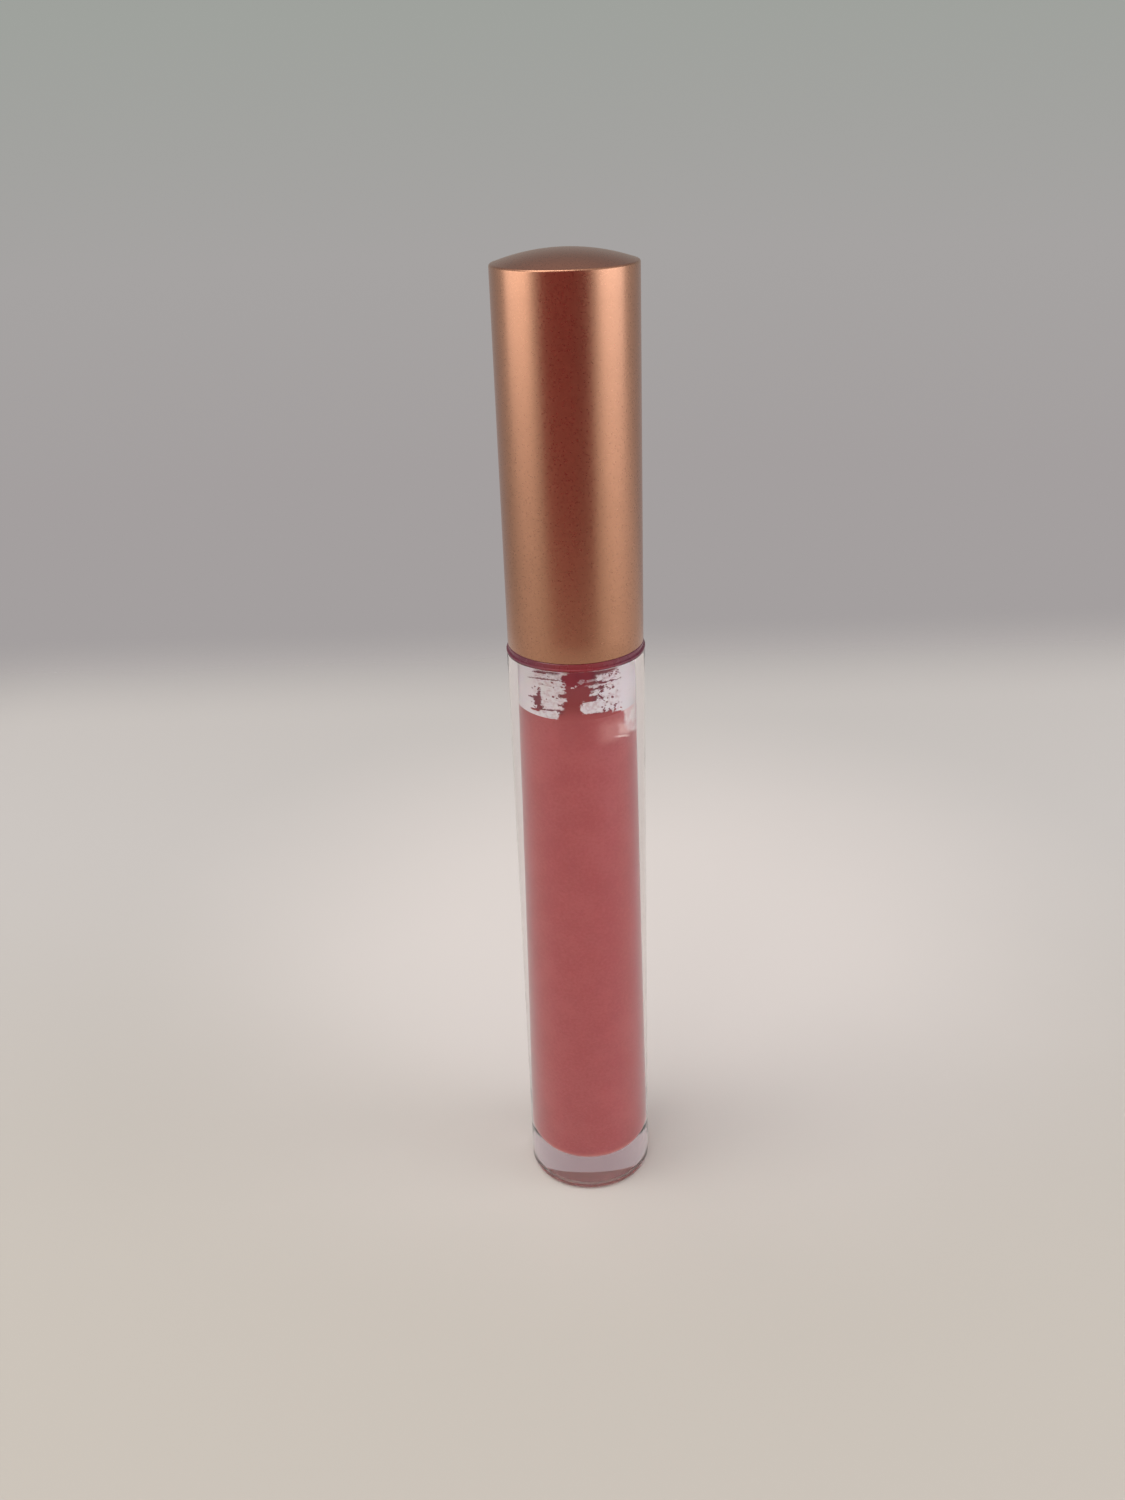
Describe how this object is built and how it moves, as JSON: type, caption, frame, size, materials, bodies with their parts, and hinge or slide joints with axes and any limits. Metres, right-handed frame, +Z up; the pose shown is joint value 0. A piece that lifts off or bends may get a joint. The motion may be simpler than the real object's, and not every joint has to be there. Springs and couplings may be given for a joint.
{
  "type": "lip gloss tube",
  "caption": "Slim round lip gloss tube: clear thick-walled bottle of red gloss with a satin copper screw cap that carries a flocked doe-foot wand through a wiper.",
  "frame": {"origin": "middle of the face the bottle stands on", "axes": "+Z up along the tube's axis, from the foot to the cap; the flat of the applicator's tip faces +X"},
  "size_m": [0.0164, 0.0162, 0.1204],
  "materials": {
    "clear_plastic": "clear, polished",
    "milky_plastic": "milky, soft sheen",
    "red_gloss": "thick creamy liquid",
    "seal_foam": "matte closed-cell foam",
    "rod_plastic": "smooth moulded",
    "core_plastic": "smooth moulded",
    "flock": "short dense flock",
    "plum_plastic": "polished",
    "copper_anodised": "satin copper anodised"
  },
  "bodies": {
    "bottle": {"bottle": "clear_plastic", "wiper": "milky_plastic", "gloss_fill": "red_gloss"},
    "seal": {"seal_ring": "seal_foam"},
    "wand": {"wand_rod": "rod_plastic"},
    "cap": {"inner_cap": "plum_plastic", "cap_shell": "copper_anodised", "applicator_core": "core_plastic", "applicator_flock": "flock"}
  },
  "joints": [
    {"name": "cap_pull", "type": "slide", "parent": "bottle", "child": "seal", "axis": [0, 0, 1], "range_m": [0, 0.08]},
    {"name": "cap_rise", "type": "slide", "parent": "seal", "child": "wand", "axis": [0, 0, 1], "range_m": [0, 0.00376]},
    {"name": "cap_turn", "type": "hinge", "parent": "wand", "child": "cap", "pos_m": [0, 0, 0.08], "axis": [0, 0, 1], "range_deg": [0, 540]}
  ],
  "couplings": [
    {"joint": "cap_rise", "follows": "cap_turn", "m_per_rad": 0.00039789}
  ]
}
